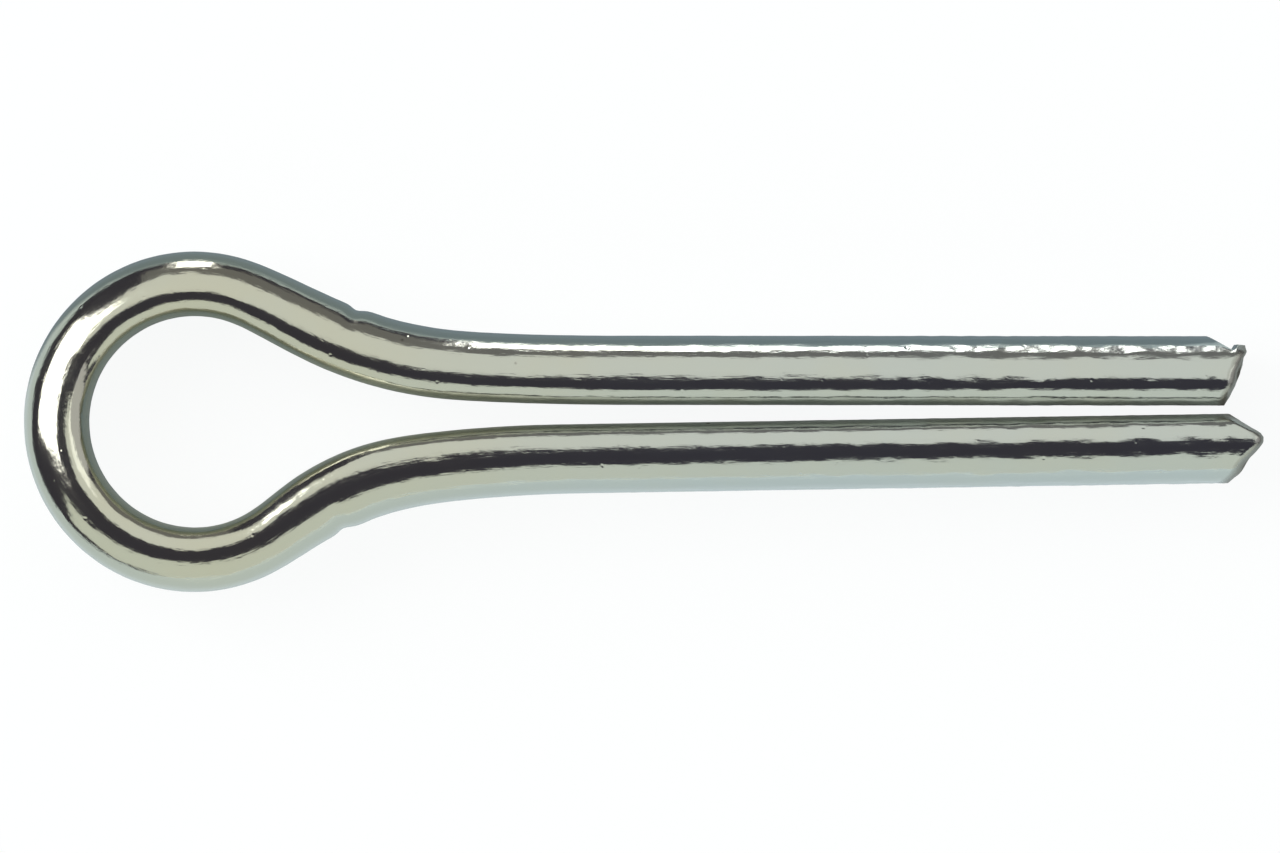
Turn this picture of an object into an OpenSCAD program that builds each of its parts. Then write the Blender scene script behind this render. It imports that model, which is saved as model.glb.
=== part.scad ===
// Cotter pin, 3/16 x 1 in: one length of rounded half-round wire, folded flat to flat with an eye.
// The frame's origin is on the shank axis where the shank leaves the cross hole, +X towards the tips,
// +Y across the two prongs and +Z across the width of the wire. The pin lies on its -Z side.
// The wire is the overlap of two sweeps: one carries its flat, the other its back. Each follows its own
// line of tangent arcs and straights, so the wire thins round the eye as bent wire does.

/* [Wire] */
// Width of the wire across its flat, mm
wire_width = 4.2; // [4.1:0.05:4.3]
// Radius that rounds each edge of the flat, mm
edge_radius = 0.75; // [0.65:0.01:0.76]
// Radius of each shoulder of the wire's back, mm
shoulder_radius = 1.3; // [1.2:0.02:1.34]
// Depth from the crown of the back to the widest line of the wire, mm
back_depth = 1.38; // [1.34:0.01:1.38]

/* [Eye] */
// Distance from the contact plane back to the eye centre, mm
eye_setback = 7.43; // [7.35:0.01:7.6]
// Sideways shift of the eye centre from the shank axis, mm
eye_shift = -0.14; // [-0.16:0.02:0]
// Radius of the flat face round the inside of the eye, mm
eye_inner_radius = 3.33; // [3.3:0.01:3.34]
// Radius round the outside of the eye, mm
eye_outer_radius = 5.36; // [5.35:0.01:5.4]

/* [Prongs] */
// Length of the shorter prong from the contact plane, mm
prong_length = 25.4; // [16:0.1:38]
// How far the longer prong reaches past the shorter one, mm
prong_extra = 0.5; // [0:0.1:2]
// Half of the slot between the flats, taken back to the contact plane, mm
slot_half = 0.34; // [0.33:0.01:0.38]
// Distance from the shank axis to the prong backs at the contact plane, mm
back_half = 2.51; // [2.5:0.01:2.53]
// Angle at which each prong closes on the shank axis, degrees
closing_angle = 0.48; // [0.1:0.02:0.48]

/* [Tool marks] */
// Radius of the nick left by the forming tool in the back of each neck, mm
nick_radius = 0.6; // [0.4:0.1:1]
// Depth of those nicks, mm
nick_depth = 0.09; // [0.04:0.01:0.12]

/* [Hidden] */
half_width = wire_width / 2;
// Fullness of every second sweep piece, and the width the back has to spare over the flat.
seat = 0.006;
skin = 0.01;
// Length by which the pieces between end inside their fuller neighbours.
lap = 0.08;
shoulder_z = half_width + skin - shoulder_radius;
crown_radius = (pow(back_depth, 2) + pow(shoulder_z, 2) - pow(shoulder_radius, 2))
    / (2 * (back_depth - shoulder_radius));
shoulder_turn = atan2(shoulder_z, crown_radius - back_depth);
// Depth that either sweep reaches from its own line, more than the wire is thick.
sweep_depth = 2.3;
tip_margin = 1.5;
$fn = 96;

// Each line: [neck angle, bend radius, angle left to the easing bend, easing radius].
upper_flat = [29.0, 12.4, 3.0, 100];
upper_back = [25.5, 11.6, 3.4, 70];
lower_flat = [41.0, 7.9, 6.8, 40];
lower_back = [34.5, 9.5, 5.9, 42];

// Where on its bend each neck carries its nick, as the angle of the wire there.
upper_nick_angle = 21.6;
lower_nick_angle = 24.6;

// Sheared ends, from the crown of the back down to the flat, as [past the end, out from the flat].
upper_tip = [
    [-1.15, 2.3], [-0.52, 1.79], [-0.38, 1.72], [-0.27, 1.9], [-0.04, 1.88], [0, 1.69], [-0.36, 0.58], [-0.72, -0.1]
];
lower_tip = [
    [-1.3, 2.4], [-0.79, 1.9], [-0.25, 1.19], [0, 0.9], [0, 0.74], [-0.12, 0.6], [-1.1, -0.08]
];

function side(angle) = [sin(angle), cos(angle)];
function along(angle) = [cos(angle), -sin(angle)];
function eased(line) = line[2] + closing_angle;

// Where a line leaves the eye's circle for its straight neck.
function neck_start(line, radius, shift) = [-eye_setback, shift] + radius * side(line[0]);

// The straight neck's length that lands the easing bend on the prong's own line.
function neck_length(line, start, offset) =
    let (turn = line[1] * (side(line[0]) - side(eased(line))),
         ease = line[3] * (side(eased(line)) - side(closing_angle)))
    -(start + turn + ease - [0, offset]) * side(closing_angle) / (along(line[0]) * side(closing_angle));

function bend_start(line, radius, shift, offset) =
    let (start = neck_start(line, radius, shift))
    start + neck_length(line, start, offset) * along(line[0]);

// The flat with its two rounded edges, open on the side of the back.
module flat_profile() {
    translate([edge_radius, -half_width])
        square([sweep_depth - edge_radius, wire_width]);
    translate([0, edge_radius - half_width])
        square([sweep_depth, wire_width - 2 * edge_radius]);
    for (s = [-1, 1])
        translate([edge_radius, s * (half_width - edge_radius)])
            circle(edge_radius);
}

// The back: a crown arc between two shoulder arcs, open on the side of the flat.
module back_profile() {
    far_x = crown_radius * (2 * cos(shoulder_turn) - 1);
    far_z = 2 * crown_radius * sin(shoulder_turn);
    translate([-sweep_depth, -half_width - skin])
        square([sweep_depth - back_depth, wire_width + 2 * skin]);
    for (s = [-1, 1])
        translate([-back_depth, s * shoulder_z])
            circle(shoulder_radius);
    intersection() {
        translate([-crown_radius, 0])
            circle(crown_radius);
        polygon([
            [-back_depth, -shoulder_z],
            [far_x, -far_z],
            [far_x, far_z],
            [-back_depth, shoulder_z]
        ]);
    }
}

// Every second piece of a sweep is fuller by a few thousandths, and its neighbours end inside it.
module fuller(outward) {
    translate([seat * outward, 0])
        scale(1 + seat / half_width)
            children();
}

module straight(start, angle, length) {
    translate([start[0], start[1], 0])
        rotate([90, 0, 90 - angle])
            linear_extrude(length)
                children();
}

module bend(centre, radius, from, to) {
    translate([centre[0], centre[1], 0])
        rotate([0, 0, 270 - from])
            rotate_extrude(angle = from - to, $fn = 360)
                translate([radius, 0])
                    mirror([1, 0])
                        children();
}

// One line from the eye to past the tip, drawn as for the upper prong.
module half_line(line, radius, shift, offset, outward) {
    neck = neck_start(line, radius, shift);
    first = bend_start(line, radius, shift, offset);
    bend_centre = first + line[1] * side(line[0]);
    ease_centre = bend_centre + (line[3] - line[1]) * side(eased(line));
    ease_lap = lap / line[3] * 180 / PI;
    prong = ease_centre - line[3] * side(closing_angle);
    straight(neck - lap * along(line[0]), line[0], norm(first - neck) + 2 * lap)
        children();
    bend(bend_centre, line[1], line[0], eased(line))
        fuller(outward)
            children();
    bend(ease_centre, line[3], eased(line) + ease_lap, closing_angle - ease_lap)
        children();
    straight(prong, closing_angle, prong_length + prong_extra + tip_margin - prong[0])
        fuller(outward)
            children();
}

// A whole line: round the eye, then down the upper and the lower prong.
module whole_line(upper, lower, radius, offset, outward) {
    translate([-eye_setback, eye_shift, 0])
        rotate([0, 0, 90 - upper[0]])
            rotate_extrude(angle = 180 + upper[0] + lower[0], $fn = 360)
                translate([radius, 0])
                    fuller(outward)
                        children();
    half_line(upper, radius, eye_shift, offset, outward)
        children();
    mirror([0, 1, 0])
        half_line(lower, radius, -eye_shift, offset, outward)
            children();
}

// What the shear takes off one prong, drawn as for the upper prong.
module shear_waste(length, tip) {
    past = tip_margin + prong_extra + 1;
    translate([length, slot_half - length * tan(closing_angle), -wire_width])
        rotate([0, 0, -closing_angle])
            linear_extrude(2 * wire_width)
                polygon(concat(tip, [[past, tip[len(tip) - 1][1]], [past, 3.2], [tip[0][0], 3.2]]));
}

module nick(line, shift, angle) {
    centre = bend_start(line, eye_outer_radius, shift, back_half) + line[1] * side(line[0])
        - (line[1] - nick_radius + nick_depth) * side(angle);
    translate([centre[0], centre[1], -wire_width])
        cylinder(h = 2 * wire_width, r = nick_radius);
}

module pin() {
    color("#b9bdb6")
        difference() {
            intersection() {
                whole_line(upper_flat, lower_flat, eye_inner_radius, slot_half, -1)
                    flat_profile();
                whole_line(upper_back, lower_back, eye_outer_radius, back_half, 1)
                    back_profile();
            }
            shear_waste(prong_length, upper_tip);
            nick(upper_back, eye_shift, upper_nick_angle);
            mirror([0, 1, 0]) {
                shear_waste(prong_length + prong_extra, lower_tip);
                nick(lower_back, -eye_shift, lower_nick_angle);
            }
        }
}

pin();
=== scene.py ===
"""Cotter pin in drawn half-round steel wire, bright zinc plated, lying on a white light table.

The wire is one mesh: a rounded half-round profile carried along the bent wire, sheared at both tips.
Lengths are worked out in millimetres and turned to metres when a mesh is made.
"""

import math

import bpy
import numpy as np
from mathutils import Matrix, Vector


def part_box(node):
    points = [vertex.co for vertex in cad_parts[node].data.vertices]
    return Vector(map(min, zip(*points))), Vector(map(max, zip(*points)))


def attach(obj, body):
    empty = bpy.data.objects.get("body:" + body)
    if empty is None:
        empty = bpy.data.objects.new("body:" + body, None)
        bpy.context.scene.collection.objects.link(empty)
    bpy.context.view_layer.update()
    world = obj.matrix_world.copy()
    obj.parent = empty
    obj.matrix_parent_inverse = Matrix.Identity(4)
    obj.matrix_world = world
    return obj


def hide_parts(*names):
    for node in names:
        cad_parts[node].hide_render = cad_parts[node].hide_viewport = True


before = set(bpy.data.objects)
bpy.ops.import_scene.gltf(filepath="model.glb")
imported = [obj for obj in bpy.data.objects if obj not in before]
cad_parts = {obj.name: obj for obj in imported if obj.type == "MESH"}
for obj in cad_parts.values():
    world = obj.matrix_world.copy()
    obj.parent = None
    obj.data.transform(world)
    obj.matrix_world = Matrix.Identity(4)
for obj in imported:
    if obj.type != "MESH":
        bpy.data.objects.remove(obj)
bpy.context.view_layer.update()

MM = 0.001

# --- The pin's dimensions, mm and degrees ------------------------------------------------------

# The eye's centre, and the radii of the wire's flat and of its back round it.
EYE_CENTRE = np.array([-7.43, -0.14])
EYE_INNER = 3.33
EYE_OUTER = 5.36
# How far the flat and the back of each prong are from the axis at x = 0, how many degrees each prong leans
# in towards its tip, where the upper tip is in x, and how much longer the lower prong is.
SLOT_HALF = 0.34
BACK_HALF = 2.51
CLOSING = 0.48
PRONG_LENGTH = 25.4
PRONG_EXTRA = 0.5

# The section: half of its height, radius of the flat's edges, radius of the shoulders, and how far in from
# the back the shoulders start.
HALF_WIDTH = 2.1
EDGE_RADIUS = 0.75
SHOULDER_RADIUS = 1.3
BACK_DEPTH = 1.38

# Each line: neck angle, bend radius, angle left to the easing bend, easing radius.
UPPER_FLAT = (29.0, 12.4, 3.0, 100.0)
UPPER_BACK = (25.5, 11.6, 3.4, 70.0)
LOWER_FLAT = (41.0, 7.9, 6.8, 40.0)
LOWER_BACK = (34.5, 9.5, 5.9, 42.0)

# Sheared ends: distance out from the flat, then distance past the prong's nominal end.
UPPER_SHEAR = (
    [-0.2, 0.0, 0.58, 1.69, 1.88, 2.3],
    [-0.78, -0.68, -0.36, 0.0, -0.03, -0.05],
)
LOWER_SHEAR = (
    [-0.2, 0.0, 0.6, 0.74, 0.9, 1.19, 1.9, 2.3],
    [-1.3, -1.02, -0.12, 0.0, 0.0, -0.25, -0.79, -1.2],
)
# Back of the upper tip, which the blade rolled over: distance past the end, then distance out from the flat.
# It counts from ROLLOVER_START on.
UPPER_ROLLOVER = (
    [-1.4, -1.15, -0.52, -0.38, -0.27, -0.04, 0.2],
    [2.3, 2.17, 1.79, 1.72, 1.9, 1.88, 1.8],
)
ROLLOVER_START = -1.5
# Length of prong that takes up the sheared shape, radius of the worn rim of the sheared face, and how rough
# the face is.
TIP_ZONE = 1.6
TIP_ROUND = 0.34
TORN = 0.02

# Nick of the forming tool in the back of each neck: its x and y, and 1 where the near tip is the upper one,
# at the end of the wire, or -1 where it is the lower one, at the start.
NICKS = ((-2.36, 3.32, 1), (-2.75, -3.5, -1))
# Depth of a nick at its middle, and how far from there it is down to about a third.
NICK_DEPTH = 0.09
NICK_WIDTH = 0.24
# Lip of metal pushed up beside each nick: its height as a share of the nick's depth, how far it is from the
# nick's middle, and how far from its own middle it is down to about a third.
LIP_SHARE = 0.2
LIP_DISTANCE = 0.6
LIP_WIDTH = 0.3
# Distance out from the flat where a nick starts, and the distance over which it grows to its whole depth.
NICK_FROM = 0.9
NICK_GROWTH = 1.1

# Distance along the wire to its middle, at the eye.
WIRE_MIDDLE = 41.0
# Heights of the long and the short waves in the surface, how much is added to them near the tips, and how far
# from the middle of the wire that starts and over what length it grows.
LONG_WAVE = 0.0013
SHORT_WAVE = 0.0009
TIP_GAIN = 1.5
TIP_GAIN_FROM = 22.0
TIP_GAIN_OVER = 10.0

# Spacing of the sections along the wire, and the length over which its two edges are smoothed.
STATION = 0.12
EDGE_SMOOTHING = 0.5
# Sections in each tip's zone, and how strongly they crowd to the end.
TIP_STATIONS = 34
CROWDING = 1.5
# Points on one section: up the flat, round its edge, round the shoulder and over half of the crown.
FLAT_POINTS, EDGE_POINTS, SHOULDER_POINTS, CROWN_POINTS = 6, 18, 26, 9
# How often each section's points are averaged with their neighbours.
SOFTENING = 8
# Sizes of the rings that close a sheared face, against its rim.
FACE_RINGS = (0.985, 0.9, 0.78, 0.64, 0.5, 0.36, 0.22, 0.1)


# --- Lines of the bent wire --------------------------------------------------------------------


def side(angle):
    """Unit vector across a line that falls at this angle, in degrees: (sin, cos)."""
    a = np.radians(angle)
    return np.array([np.sin(a), np.cos(a)])


def arc(centre, radius, start, stop, count):
    """Points on a circle, centre + radius * (cos, sin), from start to stop degrees."""
    a = np.radians(np.linspace(start, stop, count, endpoint=False))
    return centre + radius * np.stack([np.cos(a), np.sin(a)], -1)


def run(start, stop, count):
    """Points spaced evenly on the straight from start to stop."""
    share = np.linspace(0, 1, count, endpoint=False)[:, None]
    return start * (1 - share) + stop * share


def half_line(line, radius, shift, offset, reach, counts):
    """One edge of the wire for one prong: eye arc, straight neck, bend, easing bend and straight prong,
    each tangent to the next. The neck's length is what lands the easing bend on the prong's own line."""
    neck, bend, left, ease = line
    eased = left + CLOSING
    start = np.array([EYE_CENTRE[0], shift]) + radius * side(neck)
    along = np.array([np.cos(np.radians(neck)), -np.sin(np.radians(neck))])
    turned = bend * (side(neck) - side(eased)) + ease * (side(eased) - side(CLOSING))
    length = -(start + turned - [0, offset]) @ side(CLOSING) / (along @ side(CLOSING))
    first = start + length * along
    bend_centre = first + bend * side(neck)
    ease_centre = bend_centre + (ease - bend) * side(eased)
    prong = ease_centre - ease * side(CLOSING)
    tip = prong + (reach - prong[0]) * np.array([1, -np.tan(np.radians(CLOSING))])
    return np.concatenate([
        arc(np.array([EYE_CENTRE[0], shift]), radius, 180, 90 - neck, counts[0]),
        run(start, first, counts[1]),
        arc(bend_centre, bend, 270 - neck, 270 - eased, counts[2]),
        arc(ease_centre, ease, 270 - eased, 270 - CLOSING, counts[3]),
        run(prong, tip, counts[4]),
        tip[None],
    ])


def whole_edge(upper, lower, radius, offset):
    """One edge of the whole wire, from the lower tip round the eye to the upper tip. The counts are of points
    on the eye arc, neck, bend, easing bend and prong."""
    counts = (90, 20, 50, 50, 170)
    up = half_line(upper, radius, EYE_CENTRE[1], offset, PRONG_LENGTH, counts)
    low = half_line(lower, radius, -EYE_CENTRE[1], offset, PRONG_LENGTH + PRONG_EXTRA, counts) * [1, -1]
    return np.concatenate([low[::-1], up[1:]])


def resampled(points, places, wanted):
    """The line through points, which stand at these places along it, read off at the wanted places."""
    return np.stack([np.interp(wanted, places, points[:, i]) for i in range(2)], -1)


def smoothed(points, width):
    """Gaussian average along a line of evenly spaced points. The ends are carried on straight first, so
    that they stay where they are."""
    n = int(4 * width / STATION) + 1
    weight = np.exp(-0.5 * (np.arange(-n, n + 1) * STATION / width) ** 2)
    ramp = np.arange(n, 0, -1)[:, None]
    before = points[0] - ramp * (points[1] - points[0])
    after = points[-1] + ramp[::-1] * (points[-1] - points[-2])
    long = np.concatenate([before, points, after])
    return np.stack([np.convolve(long[:, i], weight / weight.sum(), "valid") for i in range(2)], -1)


def wire_stations():
    """Where the sections stand: distance along the wire, point on its flat and point on its back. They are
    STATION apart, and near each tip their distance to the end is TIP_ZONE * share ^ CROWDING, with shares
    spaced evenly from 0 to 1."""
    flat = whole_edge(UPPER_FLAT, LOWER_FLAT, EYE_INNER, SLOT_HALF)
    back = whole_edge(UPPER_BACK, LOWER_BACK, EYE_OUTER, BACK_HALF)
    steps = np.linalg.norm(np.diff((flat + back) / 2, axis=0), axis=1)
    places = np.concatenate([[0], np.cumsum(steps)])
    even = np.linspace(0, places[-1], int(places[-1] / STATION))
    flat = smoothed(resampled(flat, places, even), EDGE_SMOOTHING)
    back = smoothed(resampled(back, places, even), EDGE_SMOOTHING)
    end = TIP_ZONE * np.linspace(0, 1, TIP_STATIONS, endpoint=False) ** CROWDING
    inner = even[(even > TIP_ZONE) & (even < even[-1] - TIP_ZONE)]
    along = np.concatenate([end, inner, even[-1] - end[::-1]])
    return along, resampled(flat, even, along), resampled(back, even, along)


# --- Sections of the wire ----------------------------------------------------------------------


def wire_section(thick):
    """The outline of the wire at each station, from the middle of the flat over the top to the crown of the
    back and home again underneath: depth from the flat, and height. The shoulder is measured from the back,
    so it starts further round wherever the wire is too thin to leave a level top. Averaging each point with
    its neighbours, (before + 2 * point + after) / 4, wears down the line where it starts."""
    thick = thick[:, None]
    shoulder_z = HALF_WIDTH - SHOULDER_RADIUS
    crown = (BACK_DEPTH**2 + shoulder_z**2 - SHOULDER_RADIUS**2) / (2 * (BACK_DEPTH - SHOULDER_RADIUS))
    crown_turn = math.atan2(shoulder_z, crown - BACK_DEPTH)
    # Least length of level top between the rounded edge and the shoulder.
    level = 0.02
    first = np.arcsin(np.clip((EDGE_RADIUS + level - thick + BACK_DEPTH) / SHOULDER_RADIUS, 0, 1))
    edge_turn = np.concatenate([np.zeros(FLAT_POINTS), np.linspace(0, math.pi / 2, EDGE_POINTS)])
    shoulder_turn = first + (math.pi / 2 - crown_turn - first) * np.linspace(0, 1, SHOULDER_POINTS)
    over_crown = crown_turn * np.linspace(1, 0, CROWN_POINTS)[1:] + 0 * thick
    flat_z = np.linspace(0, 1, FLAT_POINTS, endpoint=False) * (HALF_WIDTH - EDGE_RADIUS)
    edge_z = HALF_WIDTH - EDGE_RADIUS + EDGE_RADIUS * np.sin(edge_turn[FLAT_POINTS:])
    depth = np.concatenate([
        EDGE_RADIUS * (1 - np.cos(edge_turn)) + 0 * thick,
        thick - BACK_DEPTH + SHOULDER_RADIUS * np.sin(shoulder_turn),
        thick - crown + crown * np.cos(over_crown),
    ], 1)
    height = np.concatenate([
        np.concatenate([flat_z, edge_z]) + 0 * thick,
        shoulder_z + SHOULDER_RADIUS * np.cos(shoulder_turn),
        crown * np.sin(over_crown),
    ], 1)
    home = slice(-2, 0, -1)
    depth = np.concatenate([depth, depth[:, home]], 1)
    height = np.concatenate([height, -height[:, home]], 1)
    for _ in range(SOFTENING):
        depth = (np.roll(depth, 1, 1) + 2 * depth + np.roll(depth, -1, 1)) / 4
        height = (np.roll(height, 1, 1) + 2 * height + np.roll(height, -1, 1)) / 4
    return depth, height


def gentle_noise(u, v, seed, waves, low, high):
    """Sum of plane waves of random direction and phase, wavelengths from low to high, scaled to about 1."""
    rng = np.random.default_rng(seed)
    total = np.zeros(np.broadcast(u, v).shape)
    for _ in range(waves):
        k = 2 * np.pi / rng.uniform(low, high)
        d = rng.uniform(0, 2 * np.pi)
        total += np.sin(k * (u * np.cos(d) + v * np.sin(d)) + rng.uniform(0, 2 * np.pi))
    return total / np.sqrt(waves / 2)


def waved(along, depth, height):
    """Moves each point out or in, square to the outline, by waves that drawing and bending leave in the
    surface, a few micrometres high. The long ones are three times as long along the wire as round it. Both
    are multiplied by 1 + TIP_GAIN * share, where the share goes from 0 at TIP_GAIN_FROM off the middle of the
    wire to 1 TIP_GAIN_OVER further on."""
    steps = np.hypot(
        np.diff(depth, axis=1, prepend=depth[:, :1]),
        np.diff(height, axis=1, prepend=height[:, :1]),
    )
    girth = np.cumsum(steps, 1)
    along = np.broadcast_to(along[:, None], depth.shape)
    off_middle = np.abs(along - WIRE_MIDDLE)
    gain = 1 + TIP_GAIN * np.clip((off_middle - TIP_GAIN_FROM) / TIP_GAIN_OVER, 0, 1)
    long_waves = gentle_noise(along / 3, girth, seed=11, waves=40, low=0.3, high=1.1)
    short_waves = gentle_noise(along, girth, seed=12, waves=40, low=0.35, high=0.8)
    wave = (LONG_WAVE * long_waves + SHORT_WAVE * short_waves) * gain
    across_depth = np.roll(depth, -1, 1) - np.roll(depth, 1, 1)
    across_height = np.roll(height, -1, 1) - np.roll(height, 1, 1)
    across = np.hypot(across_depth, across_height)
    return depth - wave * across_height / across, height + wave * across_depth / across


def nicked(along, back, depth):
    """Cuts the forming tool's nick into the back of each neck: a bell curve NICK_DEPTH deep, less a lower one
    for the lip that stands beside it on the tip side."""
    for x, y, way in NICKS:
        nearest = np.argmin(np.hypot(back[:, 0] - x, back[:, 1] - y))
        away = way * (along - along[nearest])
        lip = LIP_SHARE * NICK_DEPTH * np.exp(-(((away - LIP_DISTANCE) / LIP_WIDTH) ** 2))
        cut = NICK_DEPTH * np.exp(-((away / NICK_WIDTH) ** 2)) - lip
        depth = depth - cut[:, None] * np.clip((depth - NICK_FROM) / NICK_GROWTH, 0, 1)
    return depth


# --- Sheared tips ------------------------------------------------------------------------------


def sheared_face(shear, seed, depth, height):
    """How far a sheared face stands past the prong's nominal end: its outline by depth, plus roughness."""
    rough = TORN * gentle_noise(depth, height, seed, waves=12, low=0.35, high=1.2)
    return np.interp(depth, *shear) + rough


def face_rings(shear, seed, along, depth, height, base, out, heading):
    """Closes a sheared face with rings that shrink from its rim to the middle of its depth, at height 0, and
    that lie on the same sheared shape. Gives the points and where they are on the straight wire."""
    share = np.array(FACE_RINGS)[:, None]
    depth = depth.mean() + (depth - depth.mean())[None] * share
    height = height[None] * share
    past = sheared_face(shear, seed, depth, height)
    flat_place = base + out * depth[..., None] + past[..., None] * heading
    points = np.concatenate([flat_place, height[..., None]], -1)
    return points, np.stack([along + past, depth, height], -1)


def closed_tube(rings):
    """Faces of a tube of rings that one more point closes at each end. In the list of points these two come
    after all rings: first the one at the tube's start, then the one at its end."""
    rows, cols = rings.shape[:2]
    i = np.arange(rows - 1)[:, None] * cols
    j = np.arange(cols)
    k = (j + 1) % cols
    quads = np.stack([i + j, i + cols + j, i + cols + k, i + k], -1).reshape(-1, 4)
    end = (rows - 1) * cols
    first, last = rows * cols, rows * cols + 1
    fans = np.concatenate([
        np.stack([np.full(cols, first), j, k], -1),
        np.stack([np.full(cols, last), end + k, end + j], -1),
    ])
    return quads.tolist() + fans.tolist()


def with_ends(rings):
    """The points of all rings in one list, then the middle of the first ring and of the last one."""
    return np.concatenate([rings.reshape(-1, 3), [rings[0].mean(0)], [rings[-1].mean(0)]])


def make_wire():
    """Carries the section along the wire: place = point on the flat + depth * direction to the back, with the
    height as z. Near each tip the stations slide along the prong, from nothing to the whole of the sheared
    shape, and the rim of the sheared face is rounded down by a quarter circle."""
    along, flat, back = wire_stations()
    out = back - flat
    thick = np.linalg.norm(out, axis=1)
    out /= thick[:, None]
    depth, height = wire_section(thick)
    depth, height = waved(along, depth, height)
    depth = nicked(along, back, depth)

    # How near each station is to a tip, from 0 where the tip's zone starts to 1 at the end.
    near_up = np.clip(1 - (along[-1] - along) / TIP_ZONE, 0, 1)[:, None]
    near_low = np.clip(1 - along / TIP_ZONE, 0, 1)[:, None]
    past_up = sheared_face(UPPER_SHEAR, 3, depth, height)
    past_low = sheared_face(LOWER_SHEAR, 4, depth, height)
    slide_up, slide_low = near_up * past_up, near_low * past_low
    to_face = np.minimum((1 - near_up) * (past_up + TIP_ZONE), (1 - near_low) * (past_low + TIP_ZONE))
    rim = np.clip(1 - to_face / TIP_ROUND, 0, 1)
    # Not quite the whole quarter circle: the rim ends 8 degrees short of lying flat in the face.
    rounding = 0.98
    height = height * (1 - TIP_ROUND / HALF_WIDTH * (1 - np.sqrt(1 - rounding * rim**2)))
    # The back of the upper tip is held down to its rolled-over outline.
    past = along[:, None] - along[-1] + slide_up
    held = (past > ROLLOVER_START) & (along[:, None] > along[-1] / 2)
    depth = np.where(held, np.minimum(depth, np.interp(past, *UPPER_ROLLOVER)), depth)

    closing = np.radians(CLOSING)
    heading_up = np.array([np.cos(closing), -np.sin(closing)])
    heading_low = np.array([np.cos(closing), np.sin(closing)])
    place = flat[:, None] + out[:, None] * depth[..., None]
    place = place + slide_up[..., None] * heading_up + slide_low[..., None] * heading_low
    tube = np.concatenate([place, height[..., None]], -1)
    on_wire = np.broadcast_to(along[:, None], depth.shape) + slide_up - slide_low
    straight = np.stack([on_wire, depth, height], -1)

    face_up, straight_up = face_rings(
        UPPER_SHEAR, 3, along[-1], depth[-1], height[-1], flat[-1], out[-1], heading_up
    )
    face_low, straight_low = face_rings(
        LOWER_SHEAR, 4, along[0], depth[0], height[0], flat[0], out[0], heading_low
    )
    rings = np.concatenate([face_low[::-1], tube, face_up])
    straight = np.concatenate([straight_low[::-1], straight, straight_up])
    torn = np.ones((len(FACE_RINGS), depth.shape[1]))
    sheared = np.concatenate([np.concatenate([torn, rim, torn]).ravel(), [1.0, 1.0]])

    mesh = bpy.data.meshes.new("pin_wire")
    mesh.from_pydata((with_ends(rings) * MM).tolist(), [], closed_tube(rings))
    mesh.validate()
    own = mesh.attributes.new("straight_wire", "FLOAT_VECTOR", "POINT")
    own.data.foreach_set("vector", with_ends(straight).astype(np.float32).ravel())
    cut = mesh.attributes.new("sheared", "FLOAT", "POINT")
    cut.data.foreach_set("value", sheared.astype(np.float32))
    mesh.shade_smooth()
    mesh.update()
    return mesh


# --- Materials ---------------------------------------------------------------------------------


def linear(code):
    """sRGB hex colour to linear, with alpha 1."""
    c = np.array([int(code[i : i + 2], 16) for i in (1, 3, 5)]) / 255
    c = np.where(c <= 0.04045, c / 12.92, ((c + 0.055) / 1.055) ** 2.4)
    return (*c.tolist(), 1.0)


def add(tree, kind, settings=None, **inputs):
    """Adds a node, sets its properties, and sets or links its inputs, which are given by name with _ for a
    space, or by number, as in0."""
    node = tree.nodes.new(kind)
    for key, value in (settings or {}).items():
        setattr(node, key, value)
    for key, value in inputs.items():
        numbered = key.startswith("in") and key[2:].isdigit()
        socket = node.inputs[int(key[2:])] if numbered else node.inputs[key.replace("_", " ")]
        if isinstance(value, bpy.types.NodeSocket):
            tree.links.new(value, socket)
        else:
            socket.default_value = value
    return node


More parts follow.
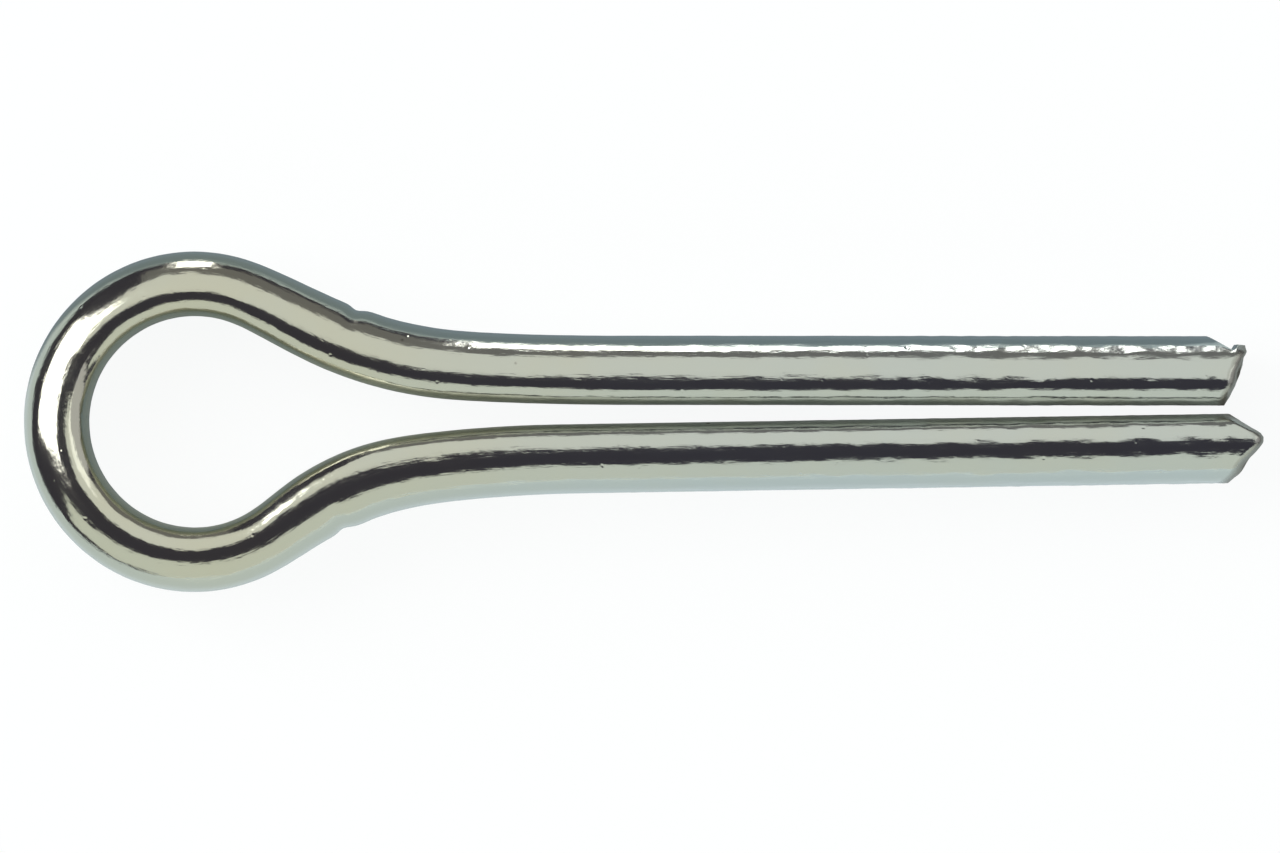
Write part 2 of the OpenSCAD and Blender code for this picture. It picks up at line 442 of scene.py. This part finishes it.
def bright_zinc_on_drawn_wire():
    """Bright zinc plate with a clear passivate, over cold-drawn low-carbon steel wire. The plate is thin and
    level, so it mirrors quite sharply and shows the die lines and small pits of the wire under it. The
    passivate leaves it faintly straw-coloured where the wire was worked hardest, round the eye."""
    m = bpy.data.materials.new("bright_zinc_on_drawn_wire")
    m.use_nodes = True
    t = m.node_tree
    t.nodes.clear()
    # Every pattern lies on the straight wire, in mm: along it, out from its flat, and height.
    own = add(t, "ShaderNodeAttribute", {"attribute_name": "straight_wire"}).outputs["Vector"]
    axes = add(t, "ShaderNodeSeparateXYZ", Vector=own)
    smooth = {"interpolation_type": "SMOOTHSTEP"}

    # Die lines 0.1 to 0.2 mm apart and 1 to 2 mm long. Real ones are finer than the picture can show.
    drawn = add(t, "ShaderNodeMapping", Vector=own, Scale=(0.7, 6.5, 6.5))
    lines = add(t, "ShaderNodeTexNoise", Vector=drawn.outputs[0], Scale=1.0, Detail=3.0, Roughness=0.6)
    # Pits and grains of plate about 0.2 mm across.
    pitted = add(t, "ShaderNodeMapping", Vector=own, Scale=(3.6, 6.0, 6.0))
    pits = add(t, "ShaderNodeTexNoise", Vector=pitted.outputs[0], Scale=1.0, Detail=2.0, Roughness=0.5)
    # Dents up to 0.17 mm across, a millimetre or so apart, from tumbling against other pins in the plating
    # barrel.
    dent = add(t, "ShaderNodeTexVoronoi", Vector=own, Scale=1.5)
    dents = add(
        t, "ShaderNodeMapRange", smooth, Value=dent.outputs["Distance"],
        From_Min=0.0, From_Max=0.13, To_Min=-0.9, To_Max=0.0,
    )
    # A few brown specks up to 0.2 mm across, where the plate has missed the steel.
    speck = add(t, "ShaderNodeTexVoronoi", Vector=own, Scale=0.6)
    specks = add(
        t, "ShaderNodeMapRange", smooth, Value=speck.outputs["Distance"],
        From_Min=0.02, From_Max=0.06, To_Min=0.75, To_Max=0.0,
    )
    # Clouding of the passivate, patches 2 to 6 mm long.
    cloud = add(t, "ShaderNodeTexNoise", Vector=own, Scale=0.35, Detail=3.0, Roughness=0.55)

    # Straw colour: strong to 6 mm either way from the middle of the wire, gone at 28 mm, and cloudy all over.
    middle = add(t, "ShaderNodeMath", {"operation": "SUBTRACT"}, in0=axes.outputs[0], in1=WIRE_MIDDLE)
    off = add(t, "ShaderNodeMath", {"operation": "ABSOLUTE"}, in0=middle.outputs[0])
    worked = add(
        t, "ShaderNodeMapRange", smooth, Value=off.outputs[0],
        From_Min=6.0, From_Max=28.0, To_Min=0.7, To_Max=0.0,
    )
    cloudy = add(
        t, "ShaderNodeMath", {"operation": "MULTIPLY_ADD", "use_clamp": True},
        in0=cloud.outputs[0], in1=0.7, in2=-0.3,
    )
    straw = add(
        t, "ShaderNodeMath", {"operation": "ADD", "use_clamp": True},
        in0=cloudy.outputs[0], in1=worked.outputs[0],
    )
    tint = add(
        t, "ShaderNodeMix", {"data_type": "RGBA"},
        in0=straw.outputs[0], in6=linear("#d5dad4"), in7=linear("#dcd9c3"),
    )
    plate = add(
        t, "ShaderNodeMix", {"data_type": "RGBA"},
        in0=specks.outputs[0], in6=tint.outputs[2], in7=linear("#6b5d52"),
    )
    # The sheared ends and the rounded rims of their faces are greyer and duller.
    cut = add(t, "ShaderNodeAttribute", {"attribute_name": "sheared"})
    torn = add(t, "ShaderNodeMath", {"operation": "POWER"}, in0=cut.outputs["Fac"], in1=0.7)
    plate_and_grey_ends = add(
        t, "ShaderNodeMix", {"data_type": "RGBA"},
        in0=torn.outputs[0], in6=plate.outputs[2], in7=linear("#8f8a80"),
    )

    # The plate is glossy, a little less so along the die lines. The flats, pressed one against the other, are
    # matt, which fades out within 0.22 mm of them, and so are the torn ends.
    shine = add(t, "ShaderNodeMapRange", Value=lines.outputs[0], To_Min=0.08, To_Max=0.18)
    flat = add(
        t, "ShaderNodeMapRange", smooth, Value=axes.outputs[1],
        From_Min=0.0, From_Max=0.22, To_Min=0.4, To_Max=0.0,
    )
    dull = add(
        t, "ShaderNodeMath", {"operation": "MULTIPLY_ADD"},
        in0=torn.outputs[0], in1=0.25, in2=flat.outputs[0],
    )
    rough = add(t, "ShaderNodeMath", {"operation": "ADD"}, in0=shine.outputs[0], in1=dull.outputs[0])

    # Relief of up to 0.01 mm.
    fine = add(
        t, "ShaderNodeMath", {"operation": "MULTIPLY_ADD"},
        in0=pits.outputs[0], in1=0.8, in2=lines.outputs[0],
    )
    height = add(t, "ShaderNodeMath", {"operation": "ADD"}, in0=fine.outputs[0], in1=dents.outputs[0])
    bump = add(t, "ShaderNodeBump", Strength=0.7, Distance=0.01 * MM, Height=height.outputs[0])
    metal = add(
        t, "ShaderNodeBsdfPrincipled", Base_Color=plate_and_grey_ends.outputs[2], Metallic=1.0,
        Roughness=rough.outputs[0], Normal=bump.outputs[0],
    )
    add(t, "ShaderNodeOutputMaterial", Surface=metal.outputs[0])
    return m


def glowing_card(name, code, glow, strength):
    """Matt card, which reflects light evenly and has almost no shine, with light coming through it."""
    m = bpy.data.materials.new(name)
    m.use_nodes = True
    s = m.node_tree.nodes["Principled BSDF"]
    s.inputs["Base Color"].default_value = linear(code)
    s.inputs["Roughness"].default_value = 0.9
    s.inputs["Specular IOR Level"].default_value = 0.1
    s.inputs["Emission Color"].default_value = linear(glow)
    s.inputs["Emission Strength"].default_value = strength
    return m


# --- Table and lights, metres ------------------------------------------------------------------

LIGHT_DISTANCE = 0.5


def stage_mesh(name, points, faces, material):
    """Makes one piece of the stage from its points, in metres, and faces."""
    mesh = bpy.data.meshes.new(name)
    mesh.from_pydata(points.tolist(), [], faces)
    mesh.shade_smooth()
    mesh.materials.append(material)
    obj = bpy.data.objects.new(name, mesh)
    bpy.context.scene.collection.objects.link(obj)
    return obj


def sweep(name, z, reach, wall, material):
    """A round table that curves up into a wall past the level share of its reach:
    height = wall * ((radius / reach - level) / (1 - level))^2."""
    level = 0.8
    rings = (0.05, 0.3, 0.6, level, 0.85, 0.9, 0.95, 1.0)
    spokes = 48
    share = np.array(rings)[:, None]
    a = np.linspace(0, 2 * math.pi, spokes, endpoint=False)[None]
    up = z + wall * (np.clip(share - level, 0, 1) / (1 - level)) ** 2 + 0 * a
    points = np.stack([reach * share * np.cos(a), reach * share * np.sin(a), up], -1).reshape(-1, 3)
    i = np.arange(len(rings) - 1)[:, None] * spokes
    j = np.arange(spokes)[None]
    k = (j + 1) % spokes
    quads = np.stack([i + j, i + spokes + j, i + spokes + k, i + k], -1).reshape(-1, 4)
    return stage_mesh(name, points, quads.tolist() + [list(range(spokes))], material)


def card(name, z, left, right, front, back, corner, material):
    """A flat card with square corners, but for the left one at the back, which is a quarter circle:
    (left + corner * (1 + cos), back - corner * (1 - sin)) from 90 to 180 degrees."""
    steps = 13
    a = np.radians(np.linspace(90, 180, steps))
    bend = np.stack([left + corner * (1 + np.cos(a)), back - corner * (1 - np.sin(a))], -1)
    outline = np.concatenate([[[left, front], [right, front], [right, back]], bend])
    points = np.concatenate([outline, np.full((len(outline), 1), z)], 1)
    return stage_mesh(name, points, [list(range(len(points)))], material)


def soft_panel(name, azimuth, elevation, width, height, radiance, tint="#ffffff", in_gloss=True):
    """A flat light that faces the pin's middle from that direction (azimuth from +X towards +Y, in degrees),
    LIGHT_DISTANCE off. Its power is radiance * pi * area, so that it looks as bright whatever its size."""
    light = bpy.data.lights.new(name, "AREA")
    light.shape = "RECTANGLE"
    light.size, light.size_y = width, height
    light.energy = radiance * math.pi * width * height
    light.color = linear(tint)[:3]
    obj = bpy.data.objects.new(name, light)
    a, e = math.radians(azimuth), math.radians(elevation)
    away = Vector((math.cos(a) * math.cos(e), math.sin(a) * math.cos(e), math.sin(e)))
    obj.location = middle + away * LIGHT_DISTANCE
    obj.rotation_euler = away.to_track_quat("Z", "Y").to_euler()
    obj.visible_glossy = in_gloss
    obj.visible_camera = False
    bpy.context.scene.collection.objects.link(obj)
    return obj


# --- The pin -----------------------------------------------------------------------------------

wire = bpy.data.objects.new("wire", make_wire())
bpy.context.scene.collection.objects.link(wire)
wire.data.materials.append(bright_zinc_on_drawn_wire())
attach(wire, "root")
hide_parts("pin")

# --- The stage ---------------------------------------------------------------------------------

low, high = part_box("pin")
middle = (low + high) / 2

# The table that the camera sees is lit from below, and the pin doesn't mirror it.
opal = glowing_card("opal_acrylic_light_table", "#5c5d5d", "#feffff", 0.922)
table = sweep("light_table", low.z, reach=1.2, wall=0.9, material=opal)
table.visible_glossy = table.visible_diffuse = table.visible_shadow = table.visible_transmission = False
# Instead the pin mirrors a small grey card with the pin's own shadow on it, which keeps the pin's edges dark
# against the white. The card lies just under the table, and the camera doesn't see it. It ends 7 mm beyond
# the eye on the left and 9 mm behind the pin. Past it the pin mirrors the low strip and the dark room.
grey = glowing_card("grey_card", "#4c4f4f", "#d4f0ff", 0.22)
mirrored = card(
    "mirrored_table", low.z - 0.05 * MM, left=-20 * MM, right=60 * MM,
    front=-80 * MM, back=14.5 * MM, corner=12 * MM, material=grey,
)
mirrored.visible_camera = False

# What the wire mirrors: an even wall behind, with a dim foot, and another in front, a narrow bright strip low
# behind, a bright box on the left and a soft wall on the right. The zenith is left dark. Each line says where
# the light is (azimuth, elevation), how large (width, height), how bright, and its tint if it isn't white.
soft_panel("back_wall", 70, 56, 0.78, 0.58, 0.72, "#fcfff8")
soft_panel("back_low", 72, 10, 0.78, 0.26, 0.13, "#fffff4")
soft_panel("back_strip", 93, -9, 0.115, 0.194, 3.4)
soft_panel("front_wall", -90, 22, 1.4, 0.47, 0.67, "#f8fff4")
soft_panel("left_box", 162, 33, 0.42, 0.51, 2.6)
soft_panel("right_wall", 2, 32, 0.44, 0.53, 0.5)
# A small light from the front, which only the grey card catches. It lays the pin's shadow behind the pin.
key = soft_panel("low_key", -80, 22, 0.12, 0.12, 800, in_gloss=False)
lit_by_key = bpy.data.collections.new("lit_by_low_key")
lit_by_key.objects.link(mirrored)
key.light_linking.receiver_collection = lit_by_key

world = bpy.data.worlds.new("studio")
world.use_nodes = True
dim_room = world.node_tree.nodes["Background"]
dim_room.inputs["Color"].default_value = linear("#e6e0ff")
dim_room.inputs["Strength"].default_value = 0.055
bpy.context.scene.world = world
bpy.context.scene.view_settings.view_transform = "Standard"

# The camera looks straight down from far off, turned by a few tenths of a degree, a hair to the left and to
# the front of the pin's middle. It sees VIEW_WIDTH across.
VIEW_WIDTH = 40.0 * MM
AIM_X, AIM_Y = -0.06 * MM, -0.25 * MM
ROLL = -0.424
camera = bpy.data.objects.new("camera", bpy.data.cameras.new("camera"))
bpy.context.scene.collection.objects.link(camera)
camera.data.sensor_width = 36.0
camera.data.lens = 500.0
camera.data.clip_start = 0.001
distance = VIEW_WIDTH * camera.data.lens / camera.data.sensor_width
camera.location = (middle.x + AIM_X, middle.y + AIM_Y, distance)
camera.rotation_euler = (0, 0, math.radians(ROLL))
bpy.context.scene.camera = camera
